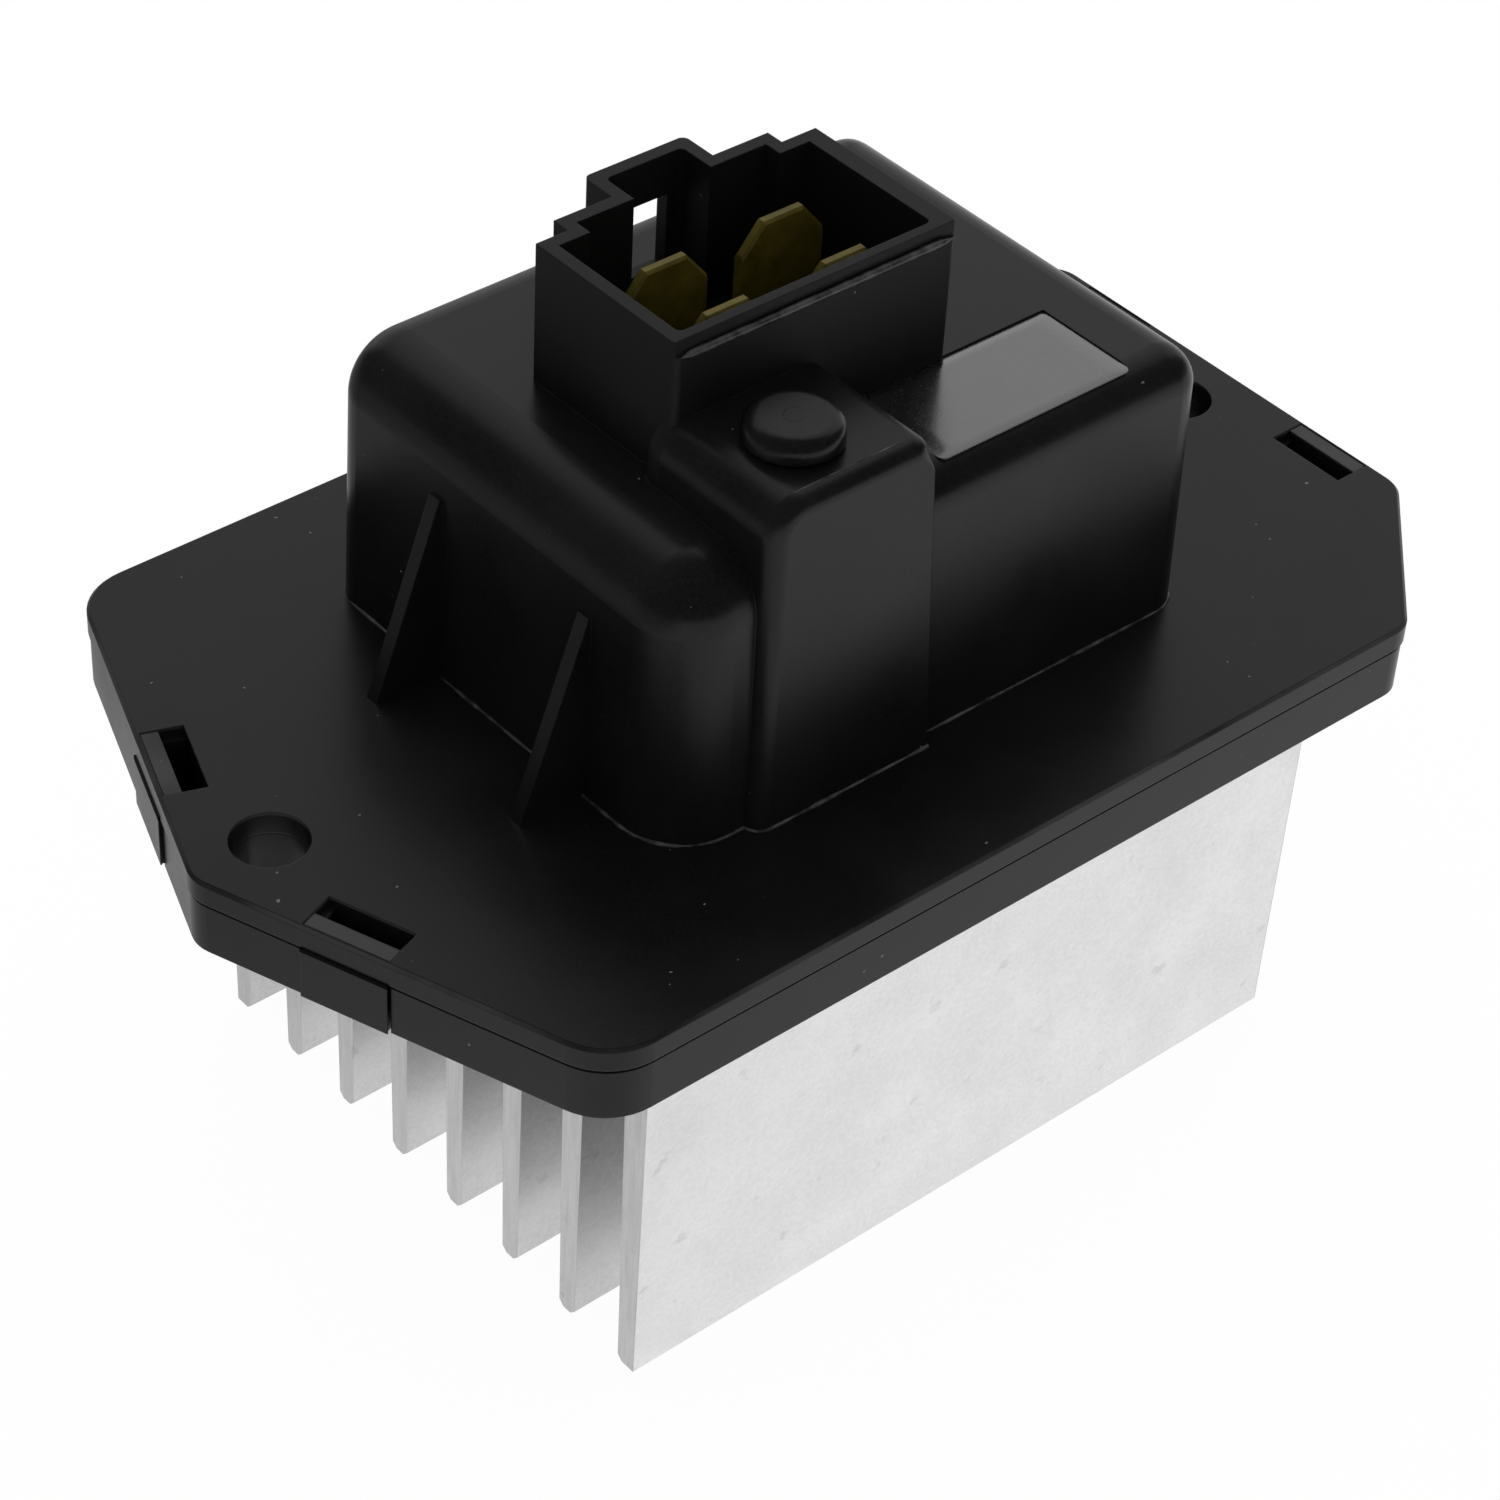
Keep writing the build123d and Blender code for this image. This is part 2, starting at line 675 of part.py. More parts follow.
# Power transistors: pad, metal tab with leads, moulded body
for number, transistor_x in enumerate(transistor_places_x, start=1):
    body_center_y = (transistor_body_front_y + transistor_body_back_y) / 2
    tab_length = transistor_body_back_y - transistor_tab_front_y
    tab_center_y = (transistor_tab_front_y + transistor_body_back_y) / 2
    with BuildPart() as thermal_pad:
        with BuildSketch(Plane.XY.offset(frame_height)):
            with Locations((transistor_x, tab_center_y)):
                Rectangle(transistor_width + 2 * pad_margin, tab_length + 2 * pad_margin)
            with Locations((transistor_x, tab_hole_y)):
                Circle(transistor_screw_radius + board_hole_clearance, mode=Mode.SUBTRACT)
        extrude(amount=pad_thickness)
    finish(thermal_pad, "thermal_pad_" + str(number))

    with BuildPart() as transistor_tab:
        with BuildSketch(Plane.XY.offset(pad_top_z)):
            with Locations((transistor_x, tab_center_y)):
                Rectangle(transistor_width, tab_length)
            with Locations((transistor_x, tab_hole_y)):
                Circle(tab_hole_radius, mode=Mode.SUBTRACT)
        extrude(amount=tab_thickness)
        chamfer(transistor_tab.edges().filter_by(Axis.Z).group_by(Axis.Y)[0], tab_thickness)
    finish(transistor_tab, "transistor_tab_" + str(number))

    with BuildPart() as transistor_leads:
        lead_z = pad_top_z + lead_height
        lead_top_z = board_top_z + lead_above_board
        for step in lead_offsets_x:
            with BuildSketch(Plane.YZ.offset(transistor_x + step - lead_width / 2)):
                with BuildLine():
                    Polyline(
                        (transistor_body_back_y, lead_z - lead_thickness / 2),
                        (lead_rise_y + lead_thickness / 2, lead_z - lead_thickness / 2),
                        (lead_rise_y + lead_thickness / 2, lead_top_z),
                        (lead_rise_y - lead_thickness / 2, lead_top_z),
                        (lead_rise_y - lead_thickness / 2, lead_z + lead_thickness / 2),
                        (transistor_body_back_y, lead_z + lead_thickness / 2),
                        close=True,
                    )
                make_face()
            extrude(amount=lead_width)
    finish(transistor_leads, "transistor_leads_" + str(number))

    with BuildPart() as transistor_body:
        with BuildSketch(Plane.XY.offset(tab_top_z)):
            with Locations((transistor_x, body_center_y)):
                Rectangle(transistor_width, transistor_body_back_y - transistor_body_front_y)
        extrude(amount=transistor_body_height - tab_thickness, taper=transistor_draft)
        chamfer(transistor_body.edges().group_by(Axis.Z)[-1], 0.3)
    finish(transistor_body, "transistor_body_" + str(number))

# Hexagon screws that hold the transistors down
with BuildPart() as transistor_screws:
    screw_places = [(x, tab_hole_y) for x in transistor_places_x]
    with BuildSketch(Plane.XY.offset(tab_top_z)):
        with Locations(*screw_places):
            RegularPolygon(transistor_screw_head_radius, 6)
    extrude(amount=transistor_screw_head_height)
    with BuildSketch(Plane.XY.offset(tab_top_z)):
        with Locations(*screw_places):
            Circle(transistor_screw_radius)
    extrude(amount=-(tab_top_z - frame_height + transistor_screw_depth - board_hole_clearance))
finish(transistor_screws, "transistor_screws")

# Electrolytic capacitor that stands in the tower
with BuildPart() as capacitor_foot:
    with BuildSketch(Plane.XY.offset(board_top_z)):
        with Locations((can_x, can_y)):
            Circle(can_radius - 0.25)
    extrude(amount=can_foot_height)
    with BuildSketch(Plane.XY.offset(board_top_z)):
        with Locations((can_x - can_lead_spacing / 2, can_y), (can_x + can_lead_spacing / 2, can_y)):
            Circle(can_lead_radius)
    extrude(amount=-(board_thickness + tail_below_board))
finish(capacitor_foot, "capacitor_foot")

with BuildPart() as capacitor_can:
    with BuildSketch(Plane.XY.offset(board_top_z + can_foot_height)):
        with Locations((can_x, can_y)):
            Circle(can_radius)
    extrude(amount=can_height)
    chamfer(capacitor_can.edges().group_by(Axis.Z)[-1], can_edge_bevel)
finish(capacitor_can, "capacitor_can")

# Control chip and its eight legs
with BuildPart() as control_chip:
    with BuildSketch(Plane.XY.offset(board_top_z + chip_stand_off)):
        with Locations(chip_place):
            Rectangle(chip_length, chip_width)
    extrude(amount=chip_height)
    chamfer(control_chip.edges().group_by(Axis.Z)[-1], 0.2)
finish(control_chip, "control_chip")

with BuildPart() as control_chip_legs:
    chip_x, chip_y = chip_place
    for side in (-1, 1):
        root_y = chip_y + side * chip_width / 2
        toe_y = root_y + side * chip_leg_reach
        knee_y = root_y + side * chip_leg_reach / 2
        leg_high_z = board_top_z + chip_stand_off + chip_height / 2
        for place in range(chip_leg_count):
            leg_x = chip_x + (place - (chip_leg_count - 1) / 2) * chip_leg_pitch
            with BuildSketch(Plane.YZ.offset(leg_x - chip_leg_width / 2)):
                with BuildLine():
                    Polyline(
                        (root_y, leg_high_z),
                        (knee_y, leg_high_z),
                        (knee_y, board_top_z + chip_leg_thickness),
                        (toe_y, board_top_z + chip_leg_thickness),
                        (toe_y, board_top_z),
                        (knee_y - side * chip_leg_thickness, board_top_z),
                        (knee_y - side * chip_leg_thickness, leg_high_z - chip_leg_thickness),
                        (root_y, leg_high_z - chip_leg_thickness),
                        close=True,
                    )
                make_face()
            extrude(amount=chip_leg_width)
finish(control_chip_legs, "control_chip_legs")

# Shunt: a bent strip that senses the motor's current
with BuildPart() as shunt_strip:
    strip_low_z = board_under_z - tail_below_board
    strip_top_z = board_top_z + shunt_height
    outer = shunt_span / 2 + shunt_thickness / 2
    inner = shunt_span / 2 - shunt_thickness / 2
    with BuildSketch(Plane.XZ.offset(-shunt_y)) as strip:
        with BuildLine():
            Polyline(
                (shunt_x - outer, strip_low_z),
                (shunt_x - outer, strip_top_z),
                (shunt_x + outer, strip_top_z),
                (shunt_x + outer, strip_low_z),
                (shunt_x + inner, strip_low_z),
                (shunt_x + inner, strip_top_z - shunt_thickness),
                (shunt_x - inner, strip_top_z - shunt_thickness),
                (shunt_x - inner, strip_low_z),
                close=True,
            )
        make_face()
        fillet(strip.vertices().group_by(Axis.Y)[-1], shunt_bend + shunt_thickness)
        inner_z = strip_top_z - shunt_thickness
        fillet(strip.vertices().filter_by_position(Axis.Y, inner_z - near, inner_z + near), shunt_bend)
    extrude(amount=shunt_width / 2, both=True)
finish(shunt_strip, "shunt_strip")

# Flyback diode: moulded body and its two folded legs
with BuildPart() as diode_legs:
    diode_x, diode_y = diode_place
    with BuildSketch(Plane.XY.offset(board_top_z)):
        for side in (-1, 1):
            with Locations((diode_x, diode_y + side * (diode_length - diode_leg_length) / 2)):
                Rectangle(diode_leg_width, diode_leg_length)
    extrude(amount=diode_leg_thickness)
finish(diode_legs, "diode_legs")

with BuildPart() as diode_body:
    with BuildSketch(Plane.XY.offset(board_top_z + diode_leg_thickness)):
        with Locations(diode_place):
            Rectangle(diode_width, diode_length)
    extrude(amount=diode_height, taper=diode_draft)
finish(diode_body, "diode_body")

# Thermal fuse under the board, close to the transistors
fuse_z = board_under_z - fuse_gap - fuse_radius
with BuildPart() as thermal_fuse:
    with BuildSketch(Plane.YZ.offset(fuse_x - fuse_length / 2)):
        with Locations((fuse_y, fuse_z)):
            Circle(fuse_radius)
    extrude(amount=fuse_length)
    chamfer(thermal_fuse.edges().filter_by(GeomType.CIRCLE), fuse_edge_bevel)
finish(thermal_fuse, "thermal_fuse")

with BuildPart() as thermal_fuse_leads:
    lead_half = fuse_lead_thickness / 2
    for side in (-1, 1):
        body_end_x = fuse_x + side * fuse_length / 2
        rise_x = fuse_x + side * fuse_lead_span / 2
        with BuildSketch(Plane.XZ.offset(-fuse_y)):
            with BuildLine():
                Polyline(
                    (body_end_x, fuse_z - lead_half),
                    (rise_x + side * lead_half, fuse_z - lead_half),
                    (rise_x + side * lead_half, board_top_z + lead_above_board),
                    (rise_x - side * lead_half, board_top_z + lead_above_board),
                    (rise_x - side * lead_half, fuse_z + lead_half),
                    (body_end_x, fuse_z + lead_half),
                    close=True,
                )
            make_face()
        extrude(amount=fuse_lead_width / 2, both=True)
finish(thermal_fuse_leads, "thermal_fuse_leads")

# Small resistors on the board
with BuildPart() as chip_resistors:
    with BuildSketch(Plane.XY.offset(board_top_z)):
        with Locations(*resistor_places):
            Rectangle(resistor_size[0], resistor_size[1])
    extrude(amount=resistor_size[2])
finish(chip_resistors, "chip_resistors")
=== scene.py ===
import json
from math import pi, radians

import bpy
import numpy as np
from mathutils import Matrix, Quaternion, Vector


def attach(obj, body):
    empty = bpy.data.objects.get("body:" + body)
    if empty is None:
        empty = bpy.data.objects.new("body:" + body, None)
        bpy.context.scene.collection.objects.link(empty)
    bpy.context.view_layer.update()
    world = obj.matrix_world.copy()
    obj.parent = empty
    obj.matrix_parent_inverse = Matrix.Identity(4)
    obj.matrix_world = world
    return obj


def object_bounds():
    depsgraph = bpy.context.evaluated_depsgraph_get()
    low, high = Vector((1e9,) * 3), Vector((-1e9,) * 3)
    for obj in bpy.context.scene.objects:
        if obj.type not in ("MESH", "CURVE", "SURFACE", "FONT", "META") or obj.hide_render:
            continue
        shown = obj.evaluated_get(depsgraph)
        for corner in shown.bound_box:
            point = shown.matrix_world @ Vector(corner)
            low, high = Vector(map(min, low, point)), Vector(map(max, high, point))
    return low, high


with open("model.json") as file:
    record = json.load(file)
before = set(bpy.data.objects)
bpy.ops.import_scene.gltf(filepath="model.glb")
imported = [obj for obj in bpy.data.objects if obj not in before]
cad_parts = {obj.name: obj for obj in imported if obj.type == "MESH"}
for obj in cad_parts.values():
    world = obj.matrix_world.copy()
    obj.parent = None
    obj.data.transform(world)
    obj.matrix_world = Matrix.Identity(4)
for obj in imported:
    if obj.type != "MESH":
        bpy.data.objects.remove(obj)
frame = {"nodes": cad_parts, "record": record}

# The CAD box, kept before any piece is added; its low corner places the floor.
cad_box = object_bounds()
MM = 0.001

# Places and sizes on the part in millimetres, as the CAD has them
FRAME_TOP = 3.8
PLATE_TOP = 5.4
BOX_LEFT, BOX_RIGHT, BOX_FRONT, BOX_TOP = -20.4, 22.2, -16.0, 24.6
BOX_BIG_CORNER, BOX_SMALL_CORNER = 4.5, 2.4
TOWER_LEFT, TOWER_RIGHT, TOWER_FRONT, TOWER_TOP = -14.6, -0.9, -17.05, 28.8
TOWER_DRAFT, TOWER_RIGHT_DRAFT = radians(0.8), radians(3.2)
TOWER_CORNER = 1.1
SHROUD_LEFT, SHROUD_RIGHT, SHROUD_FRONT, SHROUD_RIM = -13.3, 8.2, -6.6, 34.2
RIVET_TOP = np.array((-8.85, -11.85, 30.55))
FIELD_LOW, FIELD_HIGH = np.array((0.84, -14.36)), np.array((16.36, -6.64))
FIELD_FLOOR = 24.48
SINK_LEFT, SINK_RIGHT = -26.15, 29.6

# Painted light and shade and fine forms, in millimetres: the painted shade in the seam gap under the plate,
# the painted highlight along the plate's top edge, the inner side of the outer fins, within which the fin
# faces carry painted shade, the zone of the screw holes that has no painted seam shade, and the back end of
# the flash
SEAM_SHADE_HEIGHT = 0.3
EDGE_HIGHLIGHT_HEIGHT = 0.2
OUTER_FIN = 21.3
HOLE_HALF_WIDTH, HOLE_OUTER_X = 2.7, 40.2
FLASH_BACK = 15.6
MASK_SOFTNESS = 0.02

# Camera: a long lens from the front left, about 40 degrees down, with a slight roll
CAMERA_PLACE = Vector((-140.07, -152.25, 166.92)) * MM
CAMERA_AZIMUTH = radians(-42.66)
CAMERA_ELEVATION = radians(40.02)
CAMERA_ROLL = radians(3.55)
LENS_MM = 99.5
SENSOR_MM = 36.0

# Studio: brightness of the room and of the near and far floor in reflections, and the floor's place.
# The floor dims along a level direction, between the near and the far distance, both in metres.
ROOM_LEVEL = 0.06
NEAR_FLOOR_LEVEL, FAR_FLOOR_LEVEL = 0.93, 0.30
NEAR_FLOOR_M, FAR_FLOOR_M = 0.02, 0.11
FLOOR_DIMS_X, FLOOR_DIMS_Y = -0.68, 0.73
FLOOR_SEEN = 0.97
FLOOR_HALF_WIDTH_M = 1.6
FLOOR_GAP_MM = 0.02


def place_camera():
    """Camera of the photograph: looks along its azimuth and elevation, then rolls about its own axis."""
    data = bpy.data.cameras.new("camera")
    data.lens = LENS_MM
    data.sensor_width = SENSOR_MM
    data.sensor_fit = "AUTO"
    data.clip_start = 0.01
    data.clip_end = 20.0
    camera = bpy.data.objects.new("camera", data)
    bpy.context.scene.collection.objects.link(camera)
    forward = Vector((0, 1, 0))
    forward.rotate(Quaternion((1, 0, 0), -CAMERA_ELEVATION))
    forward.rotate(Quaternion((0, 0, 1), CAMERA_AZIMUTH))
    camera.rotation_mode = "QUATERNION"
    camera.rotation_quaternion = forward.to_track_quat("-Z", "Y") @ Quaternion((0, 0, 1), CAMERA_ROLL)
    camera.location = CAMERA_PLACE
    bpy.context.scene.camera = camera


class Finish:
    """A material being made: its Principled shader and short calls that add and join nodes."""

    def __init__(self, name, **values):
        self.material = bpy.data.materials.new(name)
        self.material.use_nodes = True
        self.nodes = self.material.node_tree.nodes
        self.links = self.material.node_tree.links
        self.shader = self.nodes["Principled BSDF"]
        self.coords = self.nodes.new("ShaderNodeTexCoord").outputs["Object"]
        for socket, value in values.items():
            self.shader.inputs[socket.replace("_", " ").title().replace("Ior", "IOR")].default_value = value

    def join(self, source, target):
        """Links a socket, or sets a plain value, on an input socket."""
        if isinstance(source, bpy.types.NodeSocket):
            self.links.new(source, target)
        else:
            target.default_value = source

    def stretched(self, scale):
        """Object coordinates scaled along each axis."""
        node = self.nodes.new("ShaderNodeMapping")
        self.links.new(self.coords, node.inputs["Vector"])
        node.inputs["Scale"].default_value = scale
        return node.outputs["Vector"]

    def axis(self, name):
        """One of the object coordinates X, Y and Z, in metres."""
        node = self.nodes.new("ShaderNodeSeparateXYZ")
        self.links.new(self.coords, node.inputs["Vector"])
        return node.outputs[name]

    def beyond(self, name, edge_mm):
        """1 where the object coordinate lies beyond edge_mm, 0 short of it."""
        return self.spread(self.axis(name), (edge_mm - MASK_SOFTNESS) * MM, (edge_mm + MASK_SOFTNESS) * MM)

    def between(self, name, low_mm, high_mm):
        """1 where the object coordinate lies between the two places."""
        return self.math("SUBTRACT", self.beyond(name, low_mm), self.beyond(name, high_mm))

    def noise(self, size_mm, detail=2.0, roughness=0.5, coords=None):
        """Cloudy noise from 0 to 1 whose patches are about size_mm across."""
        node = self.nodes.new("ShaderNodeTexNoise")
        self.links.new(coords or self.coords, node.inputs["Vector"])
        node.inputs["Scale"].default_value = 1 / (size_mm * MM)
        node.inputs["Detail"].default_value = detail
        node.inputs["Roughness"].default_value = roughness
        return node.outputs["Fac"]

    def spread(self, value, low, high, to_low=0.0, to_high=1.0):
        """value, stretched so that low becomes to_low and high becomes to_high, and held between them."""
        node = self.nodes.new("ShaderNodeMapRange")
        self.join(value, node.inputs["Value"])
        for name, number in zip(("From Min", "From Max", "To Min", "To Max"), (low, high, to_low, to_high)):
            node.inputs[name].default_value = number
        return node.outputs["Result"]

    def math(self, operation, first, second):
        """One arithmetic step on two numbers."""
        node = self.nodes.new("ShaderNodeMath")
        node.operation = operation
        self.join(first, node.inputs[0])
        self.join(second, node.inputs[1])
        return node.outputs[0]

    def blend(self, amount, first, second):
        """A colour between first and second."""
        node = self.nodes.new("ShaderNodeMix")
        node.data_type = "RGBA"
        self.join(amount, node.inputs["Factor"])
        self.join(first, node.inputs[6])
        self.join(second, node.inputs[7])
        return node.outputs[2]

    def mean(self, first, second, share):
        """share of the first number plus the rest of the second."""
        rest = self.math("MULTIPLY", second, 1 - share)
        return self.math("ADD", self.math("MULTIPLY", first, share), rest)

    def inverse(self, value):
        """1 less the value."""
        return self.math("SUBTRACT", 1.0, value)

    def both(self, first, second):
        """1 where both masks are 1."""
        return self.math("MULTIPLY", first, second)

    def darker(self, colour, level):
        """A colour made darker by a level from 0 to 1."""
        node = self.nodes.new("ShaderNodeMix")
        node.data_type = "RGBA"
        node.blend_type = "MULTIPLY"
        node.inputs["Factor"].default_value = 1.0
        self.join(colour, node.inputs[6])
        self.join(level, node.inputs[7])
        return node.outputs[2]

    def relief(self, height, depth_mm, strength, edge_mm=0.0):
        """Bump from height over edges that are rounded off by edge_mm."""
        node = self.nodes.new("ShaderNodeBump")
        self.links.new(height, node.inputs["Height"])
        node.inputs["Distance"].default_value = depth_mm * MM
        node.inputs["Strength"].default_value = strength
        if edge_mm:
            bevel = self.nodes.new("ShaderNodeBevel")
            bevel.samples = 4
            bevel.inputs["Radius"].default_value = edge_mm * MM
            self.links.new(bevel.outputs["Normal"], node.inputs["Normal"])
        self.links.new(node.outputs["Normal"], self.shader.inputs["Normal"])

    def set(self, socket, value):
        """Feeds a socket of the shader."""
        self.join(value, self.shader.inputs[socket])


def grey(level, tint=0.0):
    """A grey of that linear level, slightly blue with a positive tint."""
    return (level, level, level * (1 + tint), 1.0)


def moulded_plastic():
    """Black glass-filled plastic: polished with a fine grain, matt on the shroud, a few pale dust specks.

    The seam gap between plate and frame is painted near black as shade, and a patchy paler band along the
    plate's top edge is a painted highlight of its rounding.
    """
    made = Finish("moulded_plastic", specular_ior_level=0.25)
    cloud = made.noise(9.0, detail=3.0)
    grain = made.noise(0.2, detail=2.0, roughness=0.6)
    dust = made.spread(made.noise(0.4, detail=0.0), 0.89, 0.92)
    tone = made.spread(made.mean(cloud, grain, 0.5), 0.38, 0.62)
    plain = made.blend(tone, grey(0.0034, 0.05), grey(0.0066, 0.04))
    hole_band = made.between("Y", -HOLE_HALF_WIDTH, HOLE_HALF_WIDTH)
    screw_hole = made.both(hole_band, made.between("X", -HOLE_OUTER_X, HOLE_OUTER_X))
    # Painted shade: the seam gap under the plate is made near black and fully rough, except at the screw
    # holes.
    seam_shade = made.both(made.between("Z", FRAME_TOP - SEAM_SHADE_HEIGHT, FRAME_TOP), made.inverse(screw_hole))
    # Painted highlight: a patchy paler band along the plate's rounded top edge.
    edge_highlight_band = made.between("Z", PLATE_TOP - EDGE_HIGHLIGHT_HEIGHT, PLATE_TOP - MASK_SOFTNESS)
    painted_edge_highlight = made.blend(made.both(edge_highlight_band, made.spread(cloud, 0.3, 0.6)), plain, grey(0.030))
    made.set("Base Color", made.blend(seam_shade, made.blend(dust, painted_edge_highlight, grey(0.10)), grey(0.0006)))
    matt = made.both(made.beyond("Z", BOX_TOP + 0.1), made.beyond("Y", SHROUD_FRONT - 0.03))
    gloss = made.spread(cloud, 0.3, 0.7, 0.26, 0.33)
    rough = made.math("ADD", gloss, made.math("MULTIPLY", matt, 0.24))
    made.set("Roughness", made.math("MAXIMUM", rough, made.math("MULTIPLY", seam_shade, 0.95)))
    made.relief(grain, 0.004, 0.45, edge_mm=0.12)
    return made.material


def thin_plastic():
    """Flash and thin lips of the same plastic, painted paler in patches as a highlight on their small
    rounded edges.
    """
    made = Finish("thin_plastic", specular_ior_level=0.5)
    cloud = made.noise(1.1, detail=3.0, roughness=0.6)
    # The paler patches are a painted highlight on the small rounded flash and lips.
    made.set("Base Color", made.blend(made.spread(cloud, 0.35, 0.65), grey(0.006, 0.03), grey(0.050, 0.02)))
    made.set("Roughness", made.spread(cloud, 0.3, 0.7, 0.30, 0.42))
    made.relief(made.noise(0.15), 0.006, 0.5)
    return made.material


def extruded_aluminium():
    """Plain extruded aluminium: fine speckle, long faint die lines, cloudy stains and small smudges.

    The outer faces are the brightest, as the faces between the outer fins are painted darker as shade, and
    the sawn ends are duller with upright saw marks.
    """
    made = Finish("extruded_aluminium", metallic=1.0)
    speckle = made.noise(0.35, detail=4.0, roughness=0.7)
    stain = made.noise(7.0, detail=4.0, roughness=0.6)
    lines = made.noise(0.5, detail=2.0, coords=made.stretched((0.02, 1, 1)))
    tone = made.spread(made.mean(speckle, stain, 0.65), 0.35, 0.62)
    # Painted shade: the faces between the outer fins are darker than the outer faces.
    shaded_inner_face = made.blend(tone, grey(0.52, 0.01), grey(0.68, 0.01))
    outer_face = made.blend(tone, grey(0.76, 0.01), grey(0.92, 0.01))
    face = made.blend(made.inverse(made.between("Y", -OUTER_FIN, OUTER_FIN)), shaded_inner_face, outer_face)
    saw = made.noise(0.25, detail=2.0, coords=made.stretched((1, 1, 0.06)))
    sawn = made.blend(made.spread(saw, 0.3, 0.7), grey(0.49, 0.01), grey(0.57, 0.01))
    ends = made.inverse(made.between("X", SINK_LEFT + 0.04, SINK_RIGHT - 0.04))
    smudge = made.spread(made.noise(2.2, detail=3.0, roughness=0.6), 0.66, 0.72, 1.0, 0.86)
    made.set("Base Color", made.darker(made.blend(ends, face, sawn), smudge))
    made.set("Roughness", made.spread(speckle, 0.3, 0.7, 0.30, 0.42))
    made.relief(made.math("ADD", speckle, made.math("MULTIPLY", lines, 0.5)), 0.01, 0.4, edge_mm=0.08)
    return made.material


def stamped_brass():
    """Dull yellow brass of the blades, darker and greener in patches."""
    made = Finish("stamped_brass", metallic=0.55)
    tarnish = made.noise(1.6, detail=4.0, roughness=0.6)
    roll = made.noise(0.12, detail=2.0, coords=made.stretched((1, 1, 0.03)))
    dark, light = (0.060, 0.047, 0.004, 1), (0.125, 0.098, 0.010, 1)
    made.set("Base Color", made.blend(made.spread(tarnish, 0.3, 0.7), dark, light))
    made.set("Roughness", made.spread(tarnish, 0.3, 0.7, 0.34, 0.48))
    made.relief(roll, 0.004, 0.5, edge_mm=0.06)
    return made.material


def rubber():
    """Dull soft rubber of the seal and the capacitor's foot."""
    made = Finish("seal_rubber", specular_ior_level=0.3)
    bloom = made.noise(1.2, detail=3.0)
    made.set("Base Color", made.blend(bloom, grey(0.006), grey(0.012)))
    made.set("Roughness", made.spread(bloom, 0.3, 0.7, 0.62, 0.78))
    made.relief(made.noise(0.2), 0.01, 0.5)
    return made.material


def board_laminate():
    """Green varnish over copper areas that show as lighter patches."""
    made = Finish("board_laminate", coat_weight=0.3)
    copper = made.spread(made.noise(3.2, detail=0.0), 0.5, 0.53)
    weave = made.noise(0.3, detail=2.0)
    made.set("Base Color", made.blend(copper, (0.010, 0.085, 0.030, 1), (0.025, 0.150, 0.055, 1)))
    made.set("Roughness", made.spread(weave, 0.3, 0.7, 0.25, 0.36))
    made.relief(copper, 0.02, 0.4)
    return made.material


def drawn_metal(name, dark, light, rough):
    """Drawn or plated small metal parts: faint mottle and fine lines."""
    made = Finish(name, metallic=1.0)
    mottle = made.noise(0.9, detail=4.0, roughness=0.6)
    made.set("Base Color", made.blend(made.spread(mottle, 0.3, 0.7), dark, light))
    made.set("Roughness", made.spread(mottle, 0.3, 0.7, rough, rough + 0.14))
    made.relief(made.noise(0.1, coords=made.stretched((1, 1, 0.1))), 0.003, 0.4)
    return made.material


def soft_pad():
    """Grey heat-conducting pad."""
    made = Finish("soft_pad")
    fill = made.noise(0.25, detail=3.0)
    made.set("Base Color", made.blend(fill, grey(0.24, 0.06), grey(0.30, 0.06)))
    made.set("Roughness", made.spread(fill, 0.3, 0.7, 0.7, 0.85))
    made.relief(fill, 0.01, 0.4)
    return made.material


def package_plastic():
    """Matt black epoxy of the electronic parts."""
    made = Finish("package_plastic")
    pits = made.noise(0.12, detail=2.0)
    made.set("Base Color", made.blend(pits, grey(0.006), grey(0.011)))
    made.set("Roughness", made.spread(pits, 0.3, 0.7, 0.5, 0.62))
    made.relief(pits, 0.006, 0.6)
    return made.material


def label_film_face():
    """Bare black label film with a hard glossy face, finely pebbled, with pale specks."""
    made = Finish("label_film", specular_ior_level=1.0, coat_weight=1.0, coat_roughness=0.20, coat_ior=1.75)
    speckle = made.noise(0.16, detail=2.0, roughness=0.7)
    cloud = made.noise(2.5, detail=3.0)
    tone = made.spread(made.mean(speckle, cloud, 0.7), 0.35, 0.68)
    made.set("Base Color", made.blend(tone, grey(0.003, 0.03), grey(0.018, 0.03)))
    made.set("Roughness", made.spread(speckle, 0.3, 0.7, 0.18, 0.28))
    made.relief(speckle, 0.012, 0.7)
    return made.material


# Finish of each of the record's material slots
FINISHES = {
    "black_plastic": moulded_plastic(),
    "aluminium": extruded_aluminium(),
    "seal_rubber": rubber(),
    "terminal_brass": stamped_brass(),
    "board_green": board_laminate(),
    "screw_steel": drawn_metal("plated_steel", grey(0.40), grey(0.56, 0.03), 0.26),
    "pad_grey": soft_pad(),
    "tinned_metal": drawn_metal("tinned_copper", grey(0.48), grey(0.64), 0.30),
    "package_black": package_plastic(),
    "can_aluminium": drawn_metal("drawn_aluminium", grey(0.52), grey(0.70, 0.02), 0.24),
    "shunt_metal": drawn_metal("shunt_alloy", (0.34, 0.30, 0.26, 1), (0.44, 0.39, 0.34, 1), 0.32),
}
THIN_PLASTIC = thin_plastic()


def dress_nodes():
    """Gives every CAD node the finish of its material slot."""
    for part in frame["record"]["subparts"]:
        for place in frame["nodes"][part["node"]].material_slots:
            place.material = FINISHES[part["material_slot"]]


